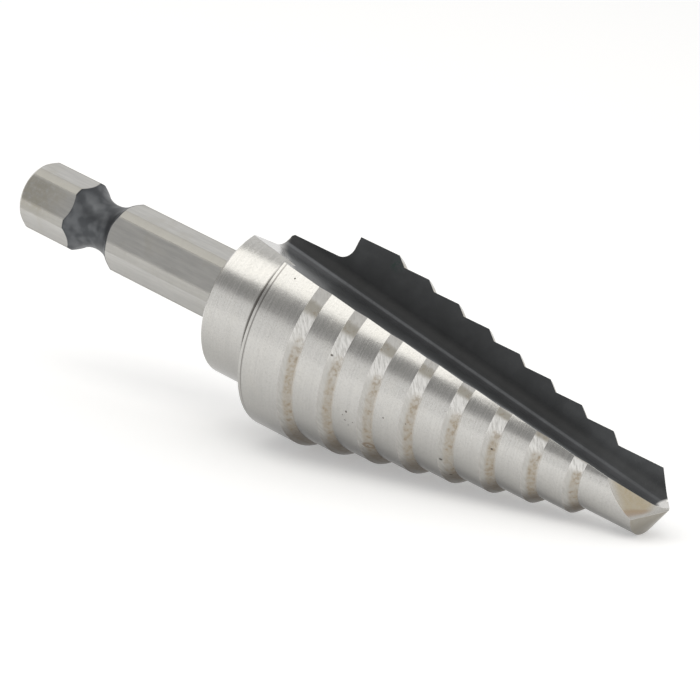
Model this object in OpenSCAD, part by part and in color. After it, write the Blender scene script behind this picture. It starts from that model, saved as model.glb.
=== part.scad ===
// Step drill with one flute and a hexagonal quick-change shank, ground from one bar.
// It lies on a flat surface as it comes to rest. Lengths are millimetres, angles degrees.
// The drill is first made on its own axis, with the apex of the point at z = 0 and the
// shank above it, and is then laid down with the point towards +X.

/* [Steps] */
// Diameter of the first step, a little under the quarter inch that it stands for
first_step_d = 6.15; // [5:0.05:7.5]
// Diameter of the last step
last_step_d = 19.05; // [18:0.05:24]
// Difference in diameter between neighbouring steps, from the second step on
step_growth = 1.5875; // [1.3:0.0125:1.6]
// Number of steps
step_count = 9; // [7:1:9]
// Axial distance from each step's front edge to the next
step_pitch = 3.8; // [2.6:0.1:6]
// Axial length of the cone that leads up to each step
riser_len = 1; // [0.4:0.1:2]
// Length of the first step, from the apex of the point to the foot of the next cone
first_step_len = 7.2; // [5:0.1:15]
// Length of the last step's land
last_land_len = 4.4; // [2:0.1:12]

/* [Collar] */
// Diameter of the collar behind the last step
collar_d = 14.2875; // [11:0.0125:15]
// Length of the collar, from the last step's back to the collar's own back face
collar_len = 6.5; // [3:0.1:20]
// Radius of the fillet between the last step's back and the collar
collar_fillet_r = 1.2; // [0.3:0.1:2]
// Chamfer round the collar's back edge
collar_chamfer = 0.25; // [0.05:0.05:1]

/* [Shank] */
// Width of the hexagon across its flats
hex_flats = 6.2; // [5.9:0.05:6.4]
// Diameter to which the hexagon's corners are turned
hex_corner_d = 6.75; // [6.5:0.05:6.8]
// Length of the hexagonal shank
hex_len = 25.7; // [20:0.1:60]
// Turn of the hexagon's flats about the axis, against the flute
hex_turn = 1.5; // [-30:0.5:30]
// Chamfer round the end of the shank
hex_end_chamfer = 0.5; // [0.1:0.1:1.5]
// Distance from the end of the shank to the middle of the groove
groove_from_end = 8.4; // [6:0.1:14]
// Diameter at the floor of the groove
groove_d = 4.5; // [3.5:0.05:5.5]
// Radius of the groove's section
groove_r = 3.6; // [2:0.1:6]

/* [Flute] */
// Radius of the flute's root
flute_root_r = 1.8; // [0.8:0.1:3]
// Angle at which the root climbs away from the axis towards the shank
flute_climb = 7.3; // [4:0.1:9]
// Angle at which the rake face draws back from the axis towards the shank
flute_drift = 1; // [0:0.05:2]
// Height of the flute's corner above the axis, at the apex of the point
flute_start = -0.25; // [-0.4:0.05:0.4]
// Distance of the rake face behind the axis, at the apex of the point
rake_setback = 0.55; // [0:0.05:1]
// Angle at which the rake face leans back
rake_lean = 2; // [0:0.5:12]
// Angle at which the heel wall falls away towards the land
heel_fall = 3; // [0:0.5:10]

/* [Point] */
// Included angle of the point
point_angle = 120; // [90:1:140]
// Angle between the axis and the flat ground beside the heel
heel_flat_angle = 30; // [25:1:45]
// Direction that the heel flat faces, measured round the axis
heel_flat_turn = 27; // [15:1:40]
// Distance behind the apex at which the heel flat meets the axis
heel_flat_lag = 0.1; // [0:0.02:0.2]
// Angle between the axis and the flank ground behind the lip
lip_flank_angle = 45; // [40:1:50]
// Direction that the lip's flank faces, measured round the axis
lip_flank_turn = 135; // [125:1:145]
// Distance before the apex at which the lip's flank meets the axis
lip_flank_lead = 0.1; // [0:0.02:0.3]

/* [Rest] */
// Direction, measured round the axis, that faces up when the drill lies still
up_turn = 66; // [45:0.5:80]

/* [Hidden] */
$fn = 96;

bright_steel = [0.62, 0.61, 0.59];
reach = 60;
// Makes the round root cross its two walls, where it would otherwise only touch them.
seam_bite = 0.001;

first_r = first_step_d / 2;
last_r = last_step_d / 2;
collar_r = collar_d / 2;
last_step = step_count - 1;
point_len = first_r / tan(point_angle / 2);
last_front = step_front(last_step);
last_back = last_front + last_land_len;
collar_back = last_back + collar_len;
total_len = collar_back + hex_len;
groove_mid = total_len - groove_from_end;

function step_r(i) = i == 0 ? first_r : last_r - (last_step - i) * step_growth / 2;
function step_front(i) = first_step_len + riser_len + (i - 1) * step_pitch;
shoulder_fillet = min(collar_fillet_r, last_r - collar_r);

// At rest the drill touches along the front edges of its first and last steps.
rest_slope = atan((last_r - first_r) / (last_front - point_len));
rest_height = first_r * cos(rest_slope) - point_len * sin(rest_slope);
end_r = hex_flats / 2 - hex_end_chamfer;
rest_length = total_len * cos(rest_slope) + end_r * sin(rest_slope);

// The flute's section: a heel wall and a rake face with a round root between them.
heel_dir = [cos(-heel_fall), sin(-heel_fall)];
rake_dir = [cos(90 + rake_lean), sin(90 + rake_lean)];
flute_opening = 90 + rake_lean + heel_fall;
root_middle_dir = flute_opening / 2 - heel_fall;
tangent_len = flute_root_r / tan(flute_opening / 2);
root_centre = flute_root_r / sin(flute_opening / 2) * [cos(root_middle_dir), sin(root_middle_dir)];

module turned_body() {
    rotate_extrude() {
        polygon(concat(
            [[0, 0], [first_r, point_len]],
            [for (i = [1:last_step]) each [
                [step_r(i - 1), step_front(i) - riser_len],
                [step_r(i), step_front(i)]
            ]],
            [[last_r, last_back],
             [collar_r, last_back],
             [collar_r, collar_back - collar_chamfer],
             [collar_r - collar_chamfer, collar_back],
             [0, collar_back]]
        ));
        translate([collar_r, last_back])
            difference() {
                square(shoulder_fillet);
                translate([shoulder_fillet, shoulder_fillet]) circle(shoulder_fillet);
            }
    }
}

module hex_shank() {
    corner_r = hex_corner_d / 2;
    intersection() {
        rotate([0, 0, 30 + hex_turn])
            cylinder(h = total_len, r = hex_flats / 2 / cos(30), $fn = 6);
        rotate_extrude()
            difference() {
                polygon([
                    [0, collar_back - collar_chamfer],
                    [corner_r, collar_back - collar_chamfer],
                    [corner_r, total_len - hex_end_chamfer],
                    [corner_r - hex_end_chamfer, total_len],
                    [0, total_len]
                ]);
                translate([groove_d / 2 + groove_r, groove_mid]) circle(groove_r);
            }
    }
}

module flute_section() {
    difference() {
        polygon([[0, 0], reach * heel_dir, reach * (heel_dir + rake_dir), reach * rake_dir]);
        polygon([[0, 0], tangent_len * heel_dir, root_centre, tangent_len * rake_dir]);
    }
    translate(root_centre) circle(flute_root_r + seam_bite);
}

module flute() {
    translate([-rake_setback, flute_start, 0])
        rotate([-flute_climb, -flute_drift, 0])
            translate([0, 0, -reach / 2])
                linear_extrude(collar_back + reach) flute_section();
}

// The metal ground away for a flat on the point. The flat meets the axis at the given
// height, leans at the given angle to the axis and faces the direction turn.
module point_flat(angle, turn, height) {
    rotate([0, 0, turn])
        translate([0, 0, height])
            rotate([0, angle - 90, 0])
                translate([-reach / 2, -reach / 2, -reach])
                    cube([reach, reach, reach]);
}

module step_drill() {
    color(bright_steel)
        translate([rest_length / 2, 0, rest_height])
            rotate([0, rest_slope - 90, 0])
                rotate([0, 0, -up_turn])
                    union() {
                        difference() {
                            turned_body();
                            flute();
                            point_flat(heel_flat_angle, heel_flat_turn, heel_flat_lag);
                            point_flat(lip_flank_angle, lip_flank_turn, -lip_flank_lead);
                        }
                        hex_shank();
                    }
}

step_drill();
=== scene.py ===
import math

import bpy
from mathutils import Matrix, Vector

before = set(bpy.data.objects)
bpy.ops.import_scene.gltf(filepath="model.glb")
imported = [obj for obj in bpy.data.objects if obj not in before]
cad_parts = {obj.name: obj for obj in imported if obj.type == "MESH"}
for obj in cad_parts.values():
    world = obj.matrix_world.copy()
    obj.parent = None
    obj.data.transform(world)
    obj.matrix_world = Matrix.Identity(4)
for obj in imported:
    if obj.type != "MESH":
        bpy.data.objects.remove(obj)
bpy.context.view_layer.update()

# The drill's own sizes, in millimetres and degrees, as part.scad has them. The drill's
# own axes have the apex of the point at z = 0 and the shank above it.
FIRST_R = 3.075
LAST_R = 9.525
STEPS = 9
PITCH = 3.8
RISER = 1.0
FIRST_LEN = 7.2
LAST_LAND = 4.4
COLLAR_LEN = 6.5
HEX_LEN = 25.7
HEX_FLATS = 6.2
HEX_END = 0.5
GROOVE_FROM_END = 8.4
GROOVE_D = 4.5
GROOVE_R = 3.6
FLUTE_ROOT_R = 1.8
FLUTE_CLIMB = 7.3
FLUTE_DRIFT = 1.0
FLUTE_START = -0.25
RAKE_SETBACK = 0.55
RAKE_LEAN = 2.0
HEEL_FALL = 3.0
POINT_ANGLE = 120.0
HEEL_FLAT_ANGLE = 30.0
HEEL_FLAT_TURN = 27.0
HEEL_FLAT_LAG = 0.1
UP_TURN = 66.0

# How far from an edge the masks that follow it begin or end, in millimetres.
EDGE = 0.02

# Where the corners of the hexagon are turned off: the radius at which the mark starts, and
# the radius at which it is full.
WORN_CORNER_FROM = 3.29
WORN_CORNER_FULL = 3.36

# The bare metal at the web is full within the first distance from the apex, and gone beyond
# the second. Where the flute runs out it starts and is full at two heights, which drop on the
# side that x points to by a share of x.
WEB_FULL = 1.0
WEB_GONE = 1.3
RUN_OUT_FROM = 44.4
RUN_OUT_FULL = 45.7
RUN_OUT_SLANT = 0.8

MM_PER_M = 1000.0

LAST_FRONT = FIRST_LEN + RISER + (STEPS - 2) * PITCH
LAST_BACK = LAST_FRONT + LAST_LAND
COLLAR_BACK = LAST_BACK + COLLAR_LEN
TOTAL = COLLAR_BACK + HEX_LEN
POINT_LEN = FIRST_R / math.tan(math.radians(POINT_ANGLE / 2))
SLOPE = math.atan((LAST_R - FIRST_R) / (LAST_FRONT - POINT_LEN))
REST_LEN = TOTAL * math.cos(SLOPE) + (HEX_FLATS / 2 - HEX_END) * math.sin(SLOPE)
REST_H = FIRST_R * math.cos(SLOPE) - POINT_LEN * math.sin(SLOPE)

# Where the apex lies in the row frame, in metres, and which way the drill's own axes point there.
LAID_DOWN = Matrix.Rotation(SLOPE - math.pi / 2, 3, "Y")
TURNED = Matrix.Rotation(-math.radians(UP_TURN), 3, "Z")
LAY = LAID_DOWN @ TURNED
APEX = Vector((REST_LEN / 2, 0, REST_H)) / MM_PER_M

# Colours of the clean metal.
STEEL_DARK = (0.530, 0.522, 0.504)
STEEL_LIGHT = (0.645, 0.636, 0.613)
STEEL_MEAN = (0.60, 0.592, 0.572)
STEEL_WARM = (0.66, 0.645, 0.605)
STEEL_GRAIN = (0.49, 0.48, 0.46)
BAR_DARK = (0.50, 0.494, 0.478)
BAR_LIGHT = (0.575, 0.567, 0.545)
BAR_STAIN = (0.46, 0.44, 0.385)
BAR_END = (0.42, 0.385, 0.30)
BAR_CORNER_WEAR_AND_SHADE = (0.47, 0.457, 0.42)
CONE_LIGHT = (0.74, 0.73, 0.71)
SCRATCH_LIGHT = (0.80, 0.79, 0.77)
SCRATCH_DARK = (0.40, 0.39, 0.37)
NICK = (0.78, 0.77, 0.75)
HEEL_FLAT_METAL = (0.62, 0.60, 0.555)
POINT_CONE_METAL = (0.32, 0.298, 0.255)
RUN_OUT_METAL = (0.585, 0.578, 0.572)
WEB_METAL = (0.80, 0.79, 0.77)

# Colours of the dirt, stains and oxide on it, and of the painted shade underneath it and behind the last
# step.
SOOT = (0.30, 0.29, 0.27)
UNDERSIDE_SHADE = (0.22, 0.213, 0.20)
LOWER_RIM_SHADE = (0.10, 0.096, 0.09)
CONE_GREY = (0.40, 0.39, 0.365)
HEEL_STAIN = (0.30, 0.28, 0.235)
TAN_STAIN = (0.385, 0.330, 0.255)
BROWN_STAIN = (0.265, 0.21, 0.15)
UNDER_STAIN_AND_SHADE = (0.135, 0.110, 0.085)
CRUMB = (0.30, 0.25, 0.19)
HEAT_TAN = (0.50, 0.435, 0.315)
HEAT_BROWN = (0.36, 0.25, 0.17)
CORNER_SHADE = (0.085, 0.078, 0.07)
DARK_EDGE_LINE = (0.16, 0.15, 0.14)
PIT = (0.075, 0.062, 0.048)
RING_STAIN = (0.20, 0.135, 0.08)
GROOVE_DARK = (0.080, 0.084, 0.090)
GROOVE_LIGHT = (0.140, 0.146, 0.154)
BLACK = (0.0, 0.0, 0.0)
OXIDE_HUE = (0.96, 1.0, 1.05)
GREEN_TRACE = (0.012, 0.045, 0.032)

# Small pits: direction round the axis in degrees, then height along it, the drill's radius
# there, and the pit's own radius, in millimetres.
PITS = (
    (-38.4, 28.36, 7.94, 0.10),
    (-33.7, 25.00, 7.14, 0.07),
    (-7.6, 30.82, 8.59, 0.09),
    (-52.3, 19.38, 6.18, 0.11),
    (-75.3, 19.01, 5.88, 0.10),
    (-25.3, 15.10, 5.00, 0.08),
    (-42.0, 28.70, 7.94, 0.05),
    (-45.1, 28.42, 7.94, 0.06),
    (-47.8, 28.07, 7.94, 0.05),
    (-44.0, 27.60, 7.94, 0.045),
    (-61.0, 26.60, 7.94, 0.05),
    (20.5, 37.30, 9.525, 0.07),
    (-30.0, 22.90, 7.14, 0.045),
)
PIT_SOFT = 0.5

# The ring-shaped stain, in the same units.
RING_TURN = -64.8
RING_Z = 26.51
RING_ON_R = 7.388
RING_OUTER_R = 0.42
RING_INNER_R = 0.22

# A green trace in the oxide: its height along the axis, its distance out along the rake face
# and its radius, in millimetres.
GREEN_Z = 34.6
GREEN_OUT = 4.4
GREEN_R = 0.55

# The height of the relief where its field is 1, in metres.
RELIEF = 0.000006

# The floor's half width in metres, its grey, and the glow that makes it white to the camera.
FLOOR_HALF = 6.0
FLOOR_GREY = 0.84
FLOOR_GLOW = 0.315

# Strengths of the room's light: everywhere, and what the low, far and right walls add.
ROOM_LIGHT = 0.33
LOW_WALL = 0.62
FAR_WALL = 0.50
RIGHT_WALL = 0.45

# The camera's place in metres, and its lens for a sensor 36 mm wide.
CAMERA_LENS = 181.70
CAMERA_AT = (0.17298609, -0.24848712, 0.08845985)
CAMERA_RIGHT = (0.80863872, 0.58290333, 0.0795432)
CAMERA_UP = (-0.21139664, 0.16172427, 0.96392776)

# The softbox, in metres. Its strength is the radiance that it shows.
SOFTBOX_AT = (-0.10, -0.205, 0.5)
SOFTBOX_SIZE = (0.80, 0.37)
SOFTBOX_RADIANCE = 1.35


def along(x, y, z):
    """A direction given on the drill's own axes, in the row frame."""
    return LAY @ Vector((x, y, z))


class Field:
    """A number that varies over the surface, held in a shader socket."""

    def __init__(self, tree, socket):
        self.tree = tree
        self.socket = socket

    def _op(self, operation, *others):
        node = self.tree.nodes.new("ShaderNodeMath")
        node.operation = operation
        for slot, value in zip(node.inputs, (self,) + others):
            if isinstance(value, Field):
                self.tree.links.new(value.socket, slot)
            else:
                slot.default_value = value
        return Field(self.tree, node.outputs[0])

    def __add__(self, other):
        return self._op("ADD", other)

    def __sub__(self, other):
        return self._op("SUBTRACT", other)

    def __mul__(self, other):
        return self._op("MULTIPLY", other)

    def __truediv__(self, other):
        return self._op("DIVIDE", other)

    def invert(self):
        return self * -1.0 + 1.0

    def min(self, other):
        return self._op("MINIMUM", other)

    def max(self, other):
        return self._op("MAXIMUM", other)

    def abs(self):
        return self._op("ABSOLUTE")

    def floor(self):
        return self._op("FLOOR")

    def sqrt(self):
        return self._op("SQRT")

    def pow(self, exponent):
        return self._op("POWER", exponent)

    def atan2(self, other):
        return self._op("ARCTAN2", other)

    def less(self, limit):
        return self._op("LESS_THAN", limit)

    def greater(self, limit):
        return self._op("GREATER_THAN", limit)

    def ramp(self, start, end):
        """0 at start and 1 at end, smooth in between. start may be the larger."""
        falling = start > end
        node = self.tree.nodes.new("ShaderNodeMapRange")
        node.interpolation_type = "SMOOTHSTEP"
        self.tree.links.new(self.socket, node.inputs["Value"])
        node.inputs["From Min"].default_value = min(start, end)
        node.inputs["From Max"].default_value = max(start, end)
        node.inputs["To Min"].default_value = 1.0 if falling else 0.0
        node.inputs["To Max"].default_value = 0.0 if falling else 1.0
        return Field(self.tree, node.outputs["Result"])

    def hump(self, start, full, last_full, end):
        """1 from full to last_full, and 0 before start and after end."""
        return self.ramp(start, full) * self.ramp(end, last_full)


def new_tree(name):
    mat = bpy.data.materials.new(name)
    mat.use_nodes = True
    mat.node_tree.nodes.clear()
    return mat, mat.node_tree


def dot(tree, vector, direction):
    node = tree.nodes.new("ShaderNodeVectorMath")
    node.operation = "DOT_PRODUCT"
    tree.links.new(vector, node.inputs[0])
    node.inputs[1].default_value = direction
    return Field(tree, node.outputs["Value"])


def combine(tree, x, y, z):
    node = tree.nodes.new("ShaderNodeCombineXYZ")
    for slot, value in zip(node.inputs, (x, y, z)):
        tree.links.new(value.socket, slot)
    return node.outputs[0]


def noise(tree, vector, scale, detail, rough):
    node = tree.nodes.new("ShaderNodeTexNoise")
    node.inputs["Scale"].default_value = scale
    node.inputs["Detail"].default_value = detail
    node.inputs["Roughness"].default_value = rough
    tree.links.new(vector, node.inputs["Vector"])
    return Field(tree, node.outputs["Fac"])


def coat(base, colour, amount):
    """The base colour, covered by the other where amount is 1. Each is a tuple or a socket."""
    tree = amount.tree
    node = tree.nodes.new("ShaderNodeMix")
    node.data_type = "RGBA"
    slots = [s for s in node.inputs if s.type == "RGBA"]
    tree.links.new(amount.socket, node.inputs["Factor"])
    for slot, value in zip(slots, (base, colour)):
        if isinstance(value, tuple):
            slot.default_value = (*value, 1.0)
        else:
            tree.links.new(value, slot)
    return [s for s in node.outputs if s.type == "RGBA"][0]


def spot(across, along_axis, at_across, at_along, radius, soft):
    """A round mark with its centre and radius in millimetres and a soft share of the radius."""
    off_across = (across - at_across).pow(2.0)
    off_along = (along_axis - at_along).pow(2.0)
    distance = (off_across + off_along).sqrt()
    return distance.ramp(radius * (1 + soft), radius * (1 - soft))


def drill_place(tree):
    """The place on the drill's own axes, in millimetres."""
    coord = tree.nodes.new("ShaderNodeTexCoord").outputs["Object"]
    shift = tree.nodes.new("ShaderNodeVectorMath")
    shift.operation = "SUBTRACT"
    tree.links.new(coord, shift.inputs[0])
    shift.inputs[1].default_value = APEX
    scale = tree.nodes.new("ShaderNodeVectorMath")
    scale.operation = "SCALE"
    tree.links.new(shift.outputs[0], scale.inputs[0])
    scale.inputs["Scale"].default_value = MM_PER_M
    return [dot(tree, scale.outputs[0], along(*axis)) for axis in ((1, 0, 0), (0, 1, 0), (0, 0, 1))]


def flute_place(x, y, z):
    """1 in the flute, then which side of its root a point is on, and how far out along the rake.

    The side is 0 on the root's middle line, less towards the rake face and more towards the
    heel wall."""
    climb, drift = math.radians(FLUTE_CLIMB), math.radians(FLUTE_DRIFT)
    fall, lean = math.radians(HEEL_FALL), math.radians(RAKE_LEAN)
    qx = (x + RAKE_SETBACK) * math.cos(drift) + z * math.sin(drift)
    qy = (x + RAKE_SETBACK) * (math.sin(drift) * math.sin(climb)) + (y - FLUTE_START) * math.cos(climb)
    qy = qy - z * (math.cos(drift) * math.sin(climb))
    from_heel = qx * math.sin(fall) + qy * math.cos(fall)
    from_rake = qx * math.cos(lean) + qy * math.sin(lean)
    along_heel = qx * math.cos(fall) - qy * math.sin(fall)
    along_rake = qy * math.cos(lean) - qx * math.sin(lean)
    opening = math.radians(90 + RAKE_LEAN + HEEL_FALL)
    middle = opening / 2 - fall
    far = FLUTE_ROOT_R / math.sin(opening / 2)
    tangent = FLUTE_ROOT_R / math.tan(opening / 2)
    off_x = qx - far * math.cos(middle)
    off_y = qy - far * math.sin(middle)
    from_root = (off_x.pow(2.0) + off_y.pow(2.0)).sqrt() - FLUTE_ROOT_R
    behind_root = along_heel.less(tangent) * along_rake.less(tangent) * from_root.ramp(0.01, 0.03)
    flute = from_heel.min(from_rake).ramp(-0.03, -0.01) * behind_root.invert() * z.less(COLLAR_BACK - 0.05)
    return flute, from_rake - from_heel, along_rake


class Drill:
    """Where a point of the surface lies on the drill, in millimetres and degrees, and a field
    for each part of it that is 1 on that part and 0 elsewhere."""

    def __init__(self, tree):
        x, y, z = drill_place(tree)
        r = (x.pow(2.0) + y.pow(2.0)).sqrt()
        self.x, self.y, self.z, self.r = x, y, z, r
        self.turn = y.atan2(x) * (180 / math.pi)
        self.arc = self.turn * r * (math.pi / 180)
        self.flute, self.root_side, self.along_rake = flute_place(x, y, z)
        self.off_flute = self.flute.invert()

        self.shank = z.greater(COLLAR_BACK + EDGE)
        self.off_shank = self.shank.invert()
        self.off_end = z.less(TOTAL - EDGE)
        in_groove = (r - (GROOVE_D / 2 + GROOVE_R)).pow(2.0) + (z - (TOTAL - GROOVE_FROM_END)).pow(2.0)
        self.groove = (in_groove.sqrt() - GROOVE_R).abs().ramp(0.09, 0.02) * self.shank
        self.worn_corner = r.ramp(WORN_CORNER_FROM, WORN_CORNER_FULL)

        step = ((z - FIRST_LEN) / PITCH).floor()
        self.foot = (z - FIRST_LEN) - step * PITCH
        self.on_steps = z.greater(FIRST_LEN) * z.less(LAST_FRONT + EDGE)
        self.riser = self.on_steps * self.foot.ramp(RISER + 0.03, RISER - 0.03) * self.off_flute
        self.cone_foot = self.foot.hump(-0.12, 0.06, 0.42, 0.74)
        self.lower_side = self.turn.ramp(-4.0, -15.0).max(self.turn.ramp(75.0, 95.0))
        behind_last = z.hump(LAST_BACK + EDGE, LAST_BACK + 0.2, LAST_BACK + 1.58, LAST_BACK + 1.80)
        self.corner = behind_last * r.less(LAST_R - 0.1) * self.off_flute

        self.heel_flat = self._above_heel_flat().ramp(-0.05, -0.02) * z.less(FIRST_LEN) * self.off_flute
        on_cone = (z - r * (POINT_LEN / FIRST_R)).abs().ramp(0.06, 0.03)
        self.point_cone = on_cone * self.heel_flat.invert() * self.off_flute
        self.web = (x.pow(2.0) + y.pow(2.0) + z.pow(2.0)).sqrt().ramp(WEB_GONE, WEB_FULL)
        self.run_out = (z + x * RUN_OUT_SLANT).ramp(RUN_OUT_FROM, RUN_OUT_FULL)
        self.oxide = self.flute * self.run_out.max(self.web).invert()

        taper = ((z - FIRST_LEN) / (LAST_FRONT - FIRST_LEN)).max(0.0).min(1.0)
        self.outward = r / (taper * (LAST_R - FIRST_R) + FIRST_R)

    def _above_heel_flat(self):
        facing, lean = math.radians(HEEL_FLAT_TURN), math.radians(HEEL_FLAT_ANGLE)
        across = self.x * (math.cos(facing) * math.cos(lean)) + self.y * (math.sin(facing) * math.cos(lean))
        return across - (self.z - HEEL_FLAT_LAG) * math.sin(lean)


class Marks:
    """The noises that vary the metal, and the stain, scratches and pits that more than one
    property of it needs. Tool marks run round the drill on what was turned, along it on the
    hexagon, and at a slant on the cones."""

    def __init__(self, tree, drill):
        x, y, z, r, arc = drill.x, drill.y, drill.z, drill.r, drill.arc
        place = combine(tree, x, y, z)
        round_it = combine(tree, arc * 0.16, z * 7.0, r * 0.6)
        round_it_wide = combine(tree, arc * 0.10, z * 1.6, r * 0.3)
        along_it = combine(tree, x * 3.2, y * 3.2, z * 0.35)
        at_a_slant = combine(tree, (arc + z * 1.5) * 0.9, (z - arc * 0.55) * 7.0, r * 0.4)
        self.turned = noise(tree, round_it, scale=1.0, detail=5.0, rough=0.62)
        self.coarse = noise(tree, round_it_wide, scale=1.0, detail=3.0, rough=0.55)
        self.drawn = noise(tree, along_it, scale=1.0, detail=4.0, rough=0.6)
        self.slanted = noise(tree, at_a_slant, scale=1.0, detail=3.0, rough=0.6)
        self.grain = noise(tree, place, scale=5.5, detail=5.0, rough=0.65)
        self.cloud = noise(tree, place, scale=0.55, detail=3.0, rough=0.55)
        self.mottle = noise(tree, place, scale=2.6, detail=4.0, rough=0.62)
        self.specks = noise(tree, place, scale=9.0, detail=2.0, rough=0.5)
        self.blotch = noise(tree, place, scale=0.95, detail=1.5, rough=0.4)

        patchy = (self.mottle.ramp(0.36, 0.60) * 0.5 + 0.5) * (self.cloud.ramp(0.35, 0.60) * 0.45 + 0.6)
        self.tan_band = drill.cone_foot * drill.lower_side * patchy
        self.clean_cone = drill.riser * drill.turn.hump(-13.0, -6.0, 4.0, 8.0)
        self.pits = self._pits(drill)

    def _pits(self, drill):
        pits = None
        for at_turn, at_z, on_r, radius in PITS:
            mark = spot(drill.arc, drill.z, math.radians(at_turn) * on_r, at_z, radius, PIT_SOFT)
            pits = mark if pits is None else pits.max(mark)
        return pits * drill.off_flute * drill.off_shank


def steel_colour(marks):
    """Ground steel on the steps and the collar."""
    base = coat(STEEL_DARK, STEEL_LIGHT, marks.turned.ramp(0.28, 0.72))
    base = coat(base, STEEL_MEAN, marks.coarse * 0.6 + 0.2)
    base = coat(base, STEEL_WARM, marks.cloud.ramp(0.45, 0.75) * 0.35)
    return coat(base, STEEL_GRAIN, marks.grain.ramp(0.54, 0.36) * 0.45)


def bar_colour(drill, marks):
    """The drawn bar of the shank, tinted near its end and duller on its turned corners, where
    the upper corners are darkened more as painted shade.
    """
    base = coat(BAR_DARK, BAR_LIGHT, marks.drawn.ramp(0.3, 0.7))
    base = coat(base, BAR_STAIN, marks.cloud.ramp(0.50, 0.78) * 0.45)
    near_end = drill.z.ramp(65.0, 69.5) * drill.turn.hump(-45.0, -20.0, 15.0, 35.0)
    end_tint = near_end * marks.mottle.ramp(0.25, 0.6) * drill.off_end
    base = coat(base, BAR_END, end_tint * 0.55)
    # The turned corners are worn duller all round, and the upper ones are darkened more as painted shade.
    return coat(base, BAR_CORNER_WEAR_AND_SHADE, drill.worn_corner * (drill.turn.ramp(-10.0, 10.0) * 0.5 + 0.3))


def metal_colour(drill, marks):
    """The clean metal with its specks, and painted shade that makes it darker underneath, most of
    all low on the point and the steps.
    """
    base = coat(steel_colour(marks), bar_colour(drill, marks), drill.shank)
    soot = marks.specks.ramp(0.64, 0.72) * marks.mottle.ramp(0.42, 0.58) * drill.off_shank
    base = coat(base, SOOT, soot * 0.45)
    nicks = marks.specks.ramp(0.34, 0.26) * marks.mottle.ramp(0.52, 0.64) * drill.off_shank
    base = coat(base, NICK, nicks * 0.6)
    # Painted shade: the metal is darker underneath, a little less so on the shank.
    shade_underneath = drill.turn.hump(-150.0, -105.0, -76.0, -5.0) * (drill.shank * -0.3 + 1.0)
    base = coat(base, UNDERSIDE_SHADE, shade_underneath * drill.off_flute * drill.off_end * 0.58)
    # Painted shade: a darker band low down on the point and the steps, strongest on the steps.
    rim_shade = drill.turn.hump(-125.0, -95.0, -76.0, -56.0) * drill.z.less(LAST_BACK)
    return coat(base, LOWER_RIM_SHADE, rim_shade * (drill.on_steps * 0.3 + 0.3) * drill.off_flute)


def cone_stains(base, drill, marks):
    """The cones between steps: grey-tan beside the heel, clean and scratched next to it, then
    a mottled tan band that turns dark brown underneath, partly stain and partly painted shade."""
    turn, riser, mottle = drill.turn, drill.riser, marks.mottle
    clean, slanted = marks.clean_cone, marks.slanted
    base = coat(base, CONE_LIGHT, riser * slanted.ramp(0.35, 0.68) * 0.6)
    base = coat(base, SCRATCH_LIGHT, clean * slanted.ramp(0.44, 0.62) * 0.5)
    base = coat(base, SCRATCH_DARK, clean * slanted.ramp(0.44, 0.36) * 0.35)
    base = coat(base, CONE_GREY, riser * drill.lower_side * 0.55)
    beside_heel = turn.hump(5.0, 9.0, 12.5, 17.0).max(turn.hump(9.0, 15.0, 60.0, 70.0) * 0.25)
    base = coat(base, HEEL_STAIN, riser * beside_heel * 0.80)
    base = coat(base, TAN_STAIN, riser * marks.tan_band * 0.80)
    first_stain = turn.hump(-30.0, -17.0, -9.0, -5.0) * mottle.ramp(0.46, 0.60) * drill.cone_foot * 0.4
    in_band = mottle.ramp(0.52, 0.72) * (drill.lower_side * drill.cone_foot * 0.7 + beside_heel * 0.5)
    base = coat(base, BROWN_STAIN, riser * in_band.max(first_stain))
    # Underneath, the cones are darkened to brown: partly stain and partly painted shade.
    base = coat(base, UNDER_STAIN_AND_SHADE, riser * turn.hump(-150.0, -95.0, -83.0, -58.0) * 0.72)
    past_edge = drill.foot.hump(0.95, 1.02, 1.03, 1.25)
    crumbs = drill.on_steps * past_edge * drill.lower_side * marks.grain.ramp(0.60, 0.68)
    base = coat(base, CRUMB, crumbs * 0.35)
    in_corner = drill.on_steps * drill.foot.ramp(3.55, 3.78) * drill.lower_side * drill.off_flute
    return coat(base, TAN_STAIN, in_corner * (mottle.ramp(0.36, 0.60) * 0.3 + 0.25))


def point_tints(base, drill, marks):
    """Heat tint on the heel flat with a brown line under it, and a duller cone below."""
    turn, z, mottle = drill.turn, drill.z, marks.mottle
    base = coat(base, HEEL_FLAT_METAL, drill.heel_flat * 0.35)
    far_edge = (z - turn * 0.048 + mottle * 0.8).ramp(5.3, 4.3)
    tint = drill.heel_flat * far_edge * turn.ramp(-43.0, -36.0) * z.ramp(0.7, 1.6)
    base = coat(base, HEAT_TAN, tint * (mottle.ramp(0.25, 0.65) * 0.3 + 0.7))
    line = drill.heel_flat * turn.hump(-44.0, -39.5, -36.5, -31.0) * z.hump(0.9, 1.4, 2.4, 2.8)
    base = coat(base, HEAT_BROWN, line * 0.5)
    return coat(base, POINT_CONE_METAL, drill.point_cone * (mottle.ramp(0.3, 0.7) * 0.2 + 0.7))


def last_step_shade_and_line(base, drill):
    """Painted shade in the corner behind the last step, and a fine dark line just before it."""
    facing = drill.turn.hump(-90.0, -25.0, 14.0, 40.0)
    # Painted shade darkens the corner behind the last step.
    base = coat(base, CORNER_SHADE, drill.corner * (facing * 0.75 + 0.15))
    line = drill.z.hump(LAST_BACK - 0.42, LAST_BACK - 0.35, LAST_BACK - 0.27, LAST_BACK - 0.20)
    line = line * drill.r.greater(LAST_R - 0.1)
    return coat(base, DARK_EDGE_LINE, line * (facing * 0.55 + 0.15) * drill.off_flute)


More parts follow.
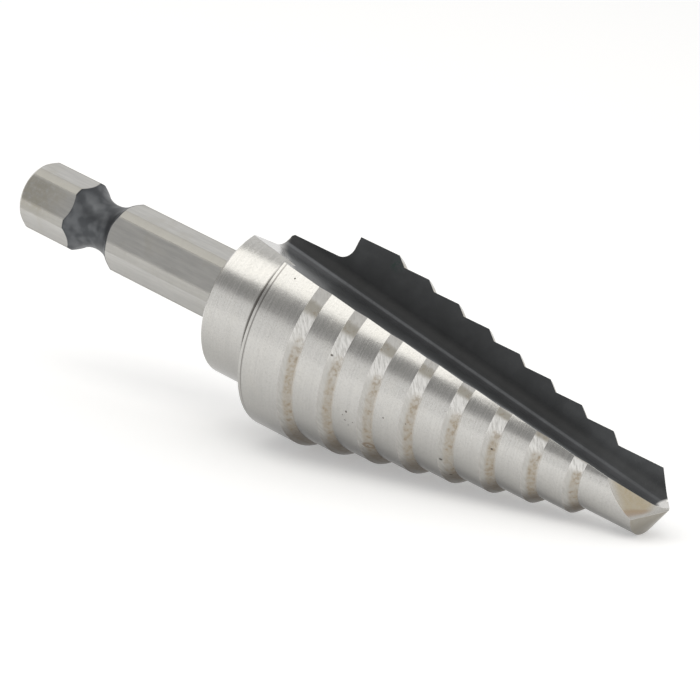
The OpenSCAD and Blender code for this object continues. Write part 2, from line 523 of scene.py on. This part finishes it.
def pits_and_ring(base, drill, marks):
    """The small pits, and one ring-shaped stain, where the photo shows them."""
    base = coat(base, PIT, marks.pits * 0.85)
    at_arc = math.radians(RING_TURN) * RING_ON_R
    disc = spot(drill.arc, drill.z, at_arc, RING_Z, RING_OUTER_R, 0.2)
    hole = spot(drill.arc, drill.z, at_arc, RING_Z, RING_INNER_R, 0.3)
    return coat(base, RING_STAIN, disc * hole.invert() * 0.6 * drill.off_shank)


def oxide_colour(drill, marks):
    """Black oxide in the flute. It is lighter towards the point, and painted lighter on the heel's
    side and towards the outer edges; a painted highlight runs along the root, with painted shade
    on the root's rake side."""
    z, outward, root_side = drill.z, drill.outward, drill.root_side
    heel_side = root_side.ramp(-0.35, -0.12)
    root_highlight = root_side.hump(-0.28, -0.08, 0.12, 0.36)
    rake_root_shade = root_side.hump(-2.1, -1.3, -0.65, -0.35)
    # Painted light: the heel's side and the outer edges are made lighter; the point is lighter too.
    tone = heel_side * 0.012 + outward.ramp(0.60, 1.0) * 0.030 + z.ramp(15.0, 4.0) * 0.024 + 0.033
    # A painted highlight along the root, and painted shade on the root's rake side.
    tone = tone + root_highlight * (marks.grain * 0.08 + 0.02) * (z.ramp(3.0, 14.0) * 0.5 + 0.5) - rake_root_shade * 0.010
    # Painted light on the heel's side near the last step and the collar.
    tone = tone + heel_side * z.ramp(35.0, 41.5) * (outward.ramp(0.45, 0.95) * 0.09 + 0.02)
    # A painted highlight along the heel's outer edge on the middle steps.
    tone = tone + heel_side * outward.ramp(0.80, 1.02) * z.hump(7.5, 10.0, 23.0, 29.0) * 0.10
    tone = tone * (marks.cloud.ramp(0.3, 0.75) * 0.25 + 0.87)
    scuffs = root_side.less(-0.5) * marks.slanted.ramp(0.60, 0.74) * z.ramp(8.0, 3.0)
    oxide = coat(BLACK, OXIDE_HUE, (tone + scuffs * 0.03).max(0.004))
    green = spot(z, drill.along_rake, GREEN_Z, GREEN_OUT, GREEN_R, 0.8) * marks.mottle.ramp(0.4, 0.6)
    return coat(oxide, GREEN_TRACE, green * 0.6)


def flute_colour(drill, marks):
    """The oxide, ground off to bare metal at the web and where the flute runs out."""
    bare = coat(RUN_OUT_METAL, WEB_METAL, drill.web)
    return coat(oxide_colour(drill, marks), bare, drill.run_out.max(drill.web))


def surface_colour(drill, marks):
    base = metal_colour(drill, marks)
    base = cone_stains(base, drill, marks)
    base = point_tints(base, drill, marks)
    base = last_step_shade_and_line(base, drill)
    base = pits_and_ring(base, drill, marks)
    groove_tone = coat(GROOVE_DARK, GROOVE_LIGHT, marks.blotch.ramp(0.35, 0.68))
    base = coat(base, groove_tone, drill.groove)
    return coat(base, flute_colour(drill, marks), drill.flute)


def surface_roughness(drill, marks):
    shank, riser = drill.shank, drill.riser
    rough = (marks.turned - 0.5) * 0.14 + 0.235 + (marks.cloud - 0.5) * 0.07
    rough = rough + shank * 0.08 + shank * drill.worn_corner * 0.25 + riser * 0.06
    rough = rough + riser * marks.tan_band * 0.12 + marks.pits * 0.3
    rough = rough + drill.oxide * 0.13 + drill.groove * 0.14 + drill.point_cone * 0.08
    return rough.max(0.12).min(0.85)


def surface_metallic(drill, marks):
    # The corner behind the last step is less metallic, as part of its painted shade.
    return (drill.oxide * 0.93 + marks.pits * 0.6 + drill.corner * 0.3).invert().max(0.0)


def surface_relief(drill, marks):
    """The height of the tool marks, the grain and the pits."""
    less_turned = (drill.shank * 0.7 + drill.riser * 0.2 + drill.flute * 0.6).invert()
    height = marks.turned * less_turned * 0.6 + marks.coarse * 0.25
    height = height + marks.slanted * (drill.riser * 0.7 + marks.clean_cone * 0.6)
    height = height + marks.drawn * drill.shank * 0.45
    height = height + marks.grain * (drill.oxide * 0.5 + drill.groove * 0.25 + 0.12)
    height = height + marks.specks * 0.10 - marks.pits * 2.5
    return height + (marks.cloud * 2.2 + marks.mottle * 0.5) * drill.off_flute


def tool_steel():
    """Ground high-speed steel, stained on the cones, blackened in the flute and the groove."""
    mat, tree = new_tree("tool_steel_ground")
    drill = Drill(tree)
    marks = Marks(tree, drill)

    bump = tree.nodes.new("ShaderNodeBump")
    bump.inputs["Strength"].default_value = 1.0
    bump.inputs["Distance"].default_value = RELIEF
    tree.links.new(surface_relief(drill, marks).socket, bump.inputs["Height"])

    shader = tree.nodes.new("ShaderNodeBsdfPrincipled")
    shader.inputs["IOR"].default_value = 1.45
    shader.inputs["Specular IOR Level"].default_value = 0.25
    tree.links.new(surface_colour(drill, marks), shader.inputs["Base Color"])
    tree.links.new(surface_roughness(drill, marks).socket, shader.inputs["Roughness"])
    tree.links.new(surface_metallic(drill, marks).socket, shader.inputs["Metallic"])
    tree.links.new(bump.outputs[0], shader.inputs["Normal"])
    out = tree.nodes.new("ShaderNodeOutputMaterial")
    tree.links.new(shader.outputs[0], out.inputs["Surface"])
    return mat


def floor():
    """A plain pale floor, white to the camera and in reflections, that keeps its shadow."""
    mesh = bpy.data.meshes.new("floor")
    half = FLOOR_HALF
    corners = [(-half, -half, 0), (half, -half, 0), (half, half, 0), (-half, half, 0)]
    mesh.from_pydata(corners, [], [(0, 1, 2, 3)])
    obj = bpy.data.objects.new("floor", mesh)
    bpy.context.scene.collection.objects.link(obj)
    mat, tree = new_tree("floor_white")
    rays = tree.nodes.new("ShaderNodeLightPath")
    seen = Field(tree, rays.outputs["Is Camera Ray"]).max(Field(tree, rays.outputs["Is Glossy Ray"]))
    seen = seen.max(Field(tree, rays.outputs["Is Transmission Ray"]))
    diffuse = tree.nodes.new("ShaderNodeBsdfDiffuse")
    diffuse.inputs["Color"].default_value = (FLOOR_GREY, FLOOR_GREY, FLOOR_GREY, 1)
    glow = tree.nodes.new("ShaderNodeEmission")
    glow.inputs["Color"].default_value = (1, 1, 1, 1)
    tree.links.new((seen * FLOOR_GLOW).socket, glow.inputs["Strength"])
    add = tree.nodes.new("ShaderNodeAddShader")
    tree.links.new(diffuse.outputs[0], add.inputs[0])
    tree.links.new(glow.outputs[0], add.inputs[1])
    out = tree.nodes.new("ShaderNodeOutputMaterial")
    tree.links.new(add.outputs[0], out.inputs["Surface"])
    mesh.materials.append(mat)


def studio():
    """A plain room: pale low walls, a greyer upper part, and one big soft lamp overhead."""
    world = bpy.data.worlds.new("studio")
    bpy.context.scene.world = world
    world.use_nodes = True
    tree = world.node_tree
    tree.nodes.clear()
    way = tree.nodes.new("ShaderNodeTexCoord").outputs["Generated"]
    up = dot(tree, way, (0, 0, 1))
    low = up.ramp(0.42, 0.34)
    far_side = dot(tree, way, (0, 1, 0)).ramp(-0.15, 0.25) * FAR_WALL
    right_side = dot(tree, way, (1, 0, 0)).ramp(0.35, 0.60) * RIGHT_WALL
    level = low * LOW_WALL + low.invert() * far_side.max(right_side) + ROOM_LIGHT
    background = tree.nodes.new("ShaderNodeBackground")
    background.inputs["Color"].default_value = (1.0, 0.995, 0.985, 1)
    tree.links.new(level.socket, background.inputs["Strength"])
    out = tree.nodes.new("ShaderNodeOutputWorld")
    tree.links.new(background.outputs[0], out.inputs["Surface"])

    lamp = bpy.data.lights.new("softbox", "AREA")
    lamp.shape = "RECTANGLE"
    lamp.size, lamp.size_y = SOFTBOX_SIZE
    lamp.energy = SOFTBOX_RADIANCE * math.pi * lamp.size * lamp.size_y
    lamp.color = (1.0, 0.985, 0.945)
    obj = bpy.data.objects.new("softbox", lamp)
    obj.location = SOFTBOX_AT
    bpy.context.scene.collection.objects.link(obj)


def camera():
    """The photo's camera, as fitted to the drill's outline."""
    cam = bpy.data.cameras.new("camera")
    cam.lens = CAMERA_LENS
    cam.sensor_width = 36
    cam.clip_start = 0.01
    obj = bpy.data.objects.new("camera", cam)
    right, up = Vector(CAMERA_RIGHT), Vector(CAMERA_UP)
    back = right.cross(up)
    pose = Matrix((right, up, back)).transposed().to_4x4()
    pose.translation = CAMERA_AT
    obj.matrix_world = pose
    bpy.context.scene.collection.objects.link(obj)
    bpy.context.scene.camera = obj


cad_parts["step_drill"].material_slots[0].material = tool_steel()
floor()
studio()
camera()
bpy.context.scene.view_settings.view_transform = "Standard"
